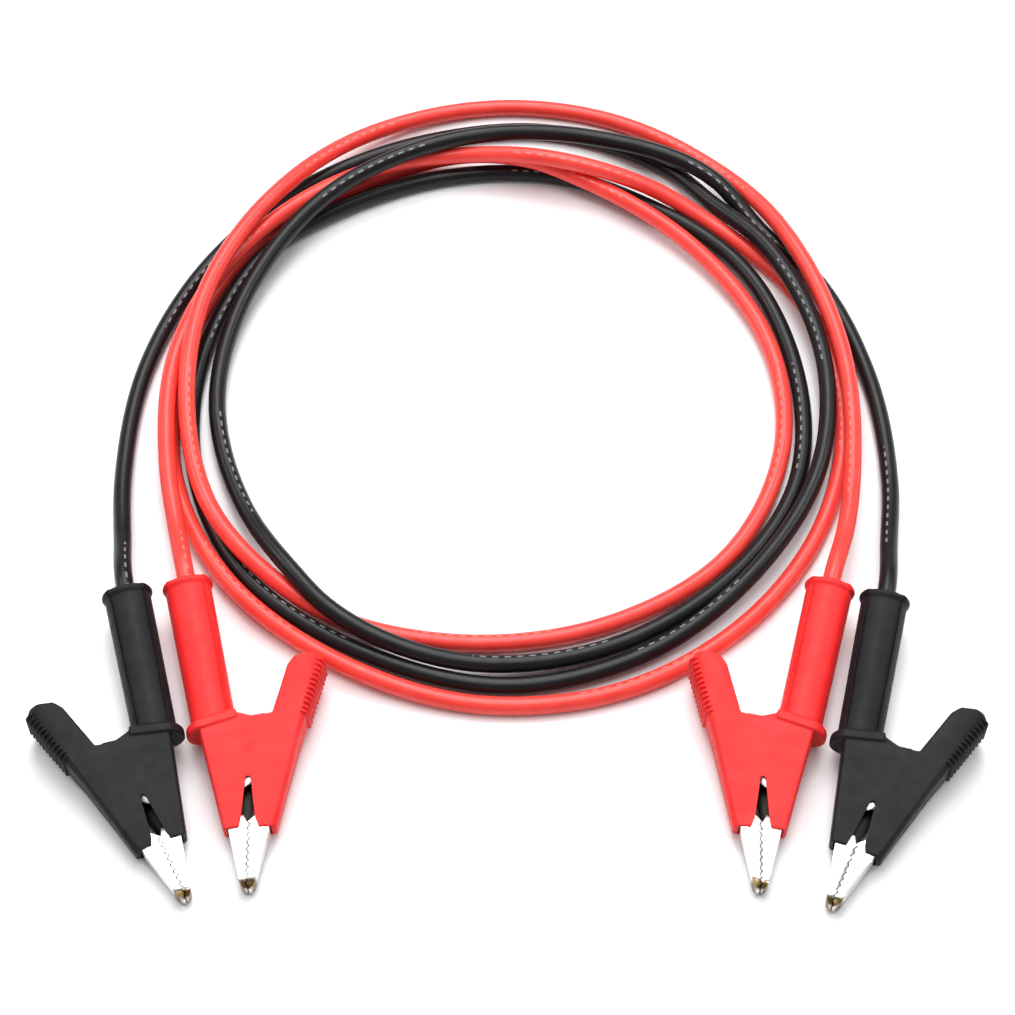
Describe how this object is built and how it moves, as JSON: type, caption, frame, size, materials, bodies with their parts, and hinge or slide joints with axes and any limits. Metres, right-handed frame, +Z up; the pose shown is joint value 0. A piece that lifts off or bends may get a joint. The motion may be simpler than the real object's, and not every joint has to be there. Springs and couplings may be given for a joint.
{
  "type": "alligator clip test lead pair",
  "caption": "coiled flexible test leads, one red and one black, each with an insulated sprung alligator clip at either end for temporary electrical connections",
  "frame": {"origin": "bottom centre of the box around the four clips, on the surface that the leads lie on", "axes": "+Z up from the table; the jaws of all four clips point towards -Y and the coil lies towards +Y; the clips are spread along X, the longest extent of the clips"},
  "size_m": [0.1783, 0.1957, 0.0135],
  "materials": {
    "red_boot": "soft flexible red vinyl with a satin surface and softly rounded edges",
    "black_boot": "soft flexible black vinyl with a satin surface and softly rounded edges",
    "red_cable": "smooth glossy red silicone jacket",
    "black_cable": "smooth glossy black silicone jacket",
    "nickel": "bright nickel plated sheet steel with pale brown tarnish at the folded tips",
    "spring_wire": "drawn spring wire",
    "copper": "fine stranded tinned copper"
  },
  "bodies": {
    "root": {"red_cable": "red_cable", "black_cable": "black_cable", "black_left_boot_body": "black_boot", "black_left_boot_web": "black_boot", "black_left_jaw_fixed": "nickel", "black_left_pivot_pin": "nickel", "black_left_spring": "spring_wire", "black_left_conductor": "copper", "red_left_boot_body": "red_boot", "red_left_boot_web": "red_boot", "red_left_jaw_fixed": "nickel", "red_left_pivot_pin": "nickel", "red_left_spring": "spring_wire", "red_left_conductor": "copper", "red_right_boot_body": "red_boot", "red_right_boot_web": "red_boot", "red_right_jaw_fixed": "nickel", "red_right_pivot_pin": "nickel", "red_right_spring": "spring_wire", "red_right_conductor": "copper", "black_right_boot_body": "black_boot", "black_right_boot_web": "black_boot", "black_right_jaw_fixed": "nickel", "black_right_pivot_pin": "nickel", "black_right_spring": "spring_wire", "black_right_conductor": "copper"},
    "black_left_lever": {"black_left_boot_lever": "black_boot", "black_left_jaw_moving": "nickel"},
    "red_left_lever": {"red_left_boot_lever": "red_boot", "red_left_jaw_moving": "nickel"},
    "red_right_lever": {"red_right_boot_lever": "red_boot", "red_right_jaw_moving": "nickel"},
    "black_right_lever": {"black_right_boot_lever": "black_boot", "black_right_jaw_moving": "nickel"}
  },
  "joints": [
    {"name": "black_left_jaw_hinge", "type": "hinge", "parent": "root", "child": "black_left_lever", "pos_m": [-0.06995, -0.00677, 0.00481], "axis": [-0.0253, 0.1014, -0.9945], "range_deg": [0, 20], "stiffness_Nm_per_rad": 0.15, "springref_deg": -22.92, "deforming": ["black_left_boot_web", "black_left_spring"]},
    {"name": "red_left_jaw_hinge", "type": "hinge", "parent": "root", "child": "red_left_lever", "pos_m": [-0.04662, -0.00201, 0.00503], "axis": [-0.0109, -0.1096, 0.9939], "range_deg": [0, 20], "stiffness_Nm_per_rad": 0.15, "springref_deg": -22.92, "deforming": ["red_left_boot_web", "red_left_spring"]},
    {"name": "red_right_jaw_hinge", "type": "hinge", "parent": "root", "child": "red_right_lever", "pos_m": [0.04637, -0.0021, 0.00503], "axis": [-0.0078, 0.1099, -0.9939], "range_deg": [0, 20], "stiffness_Nm_per_rad": 0.15, "springref_deg": -22.92, "deforming": ["red_right_boot_web", "red_right_spring"]},
    {"name": "black_right_jaw_hinge", "type": "hinge", "parent": "root", "child": "black_right_lever", "pos_m": [0.07013, -0.00808, 0.00481], "axis": [-0.0235, -0.1018, 0.9945], "range_deg": [0, 20], "stiffness_Nm_per_rad": 0.15, "springref_deg": -22.92, "deforming": ["black_right_boot_web", "black_right_spring"]}
  ]
}
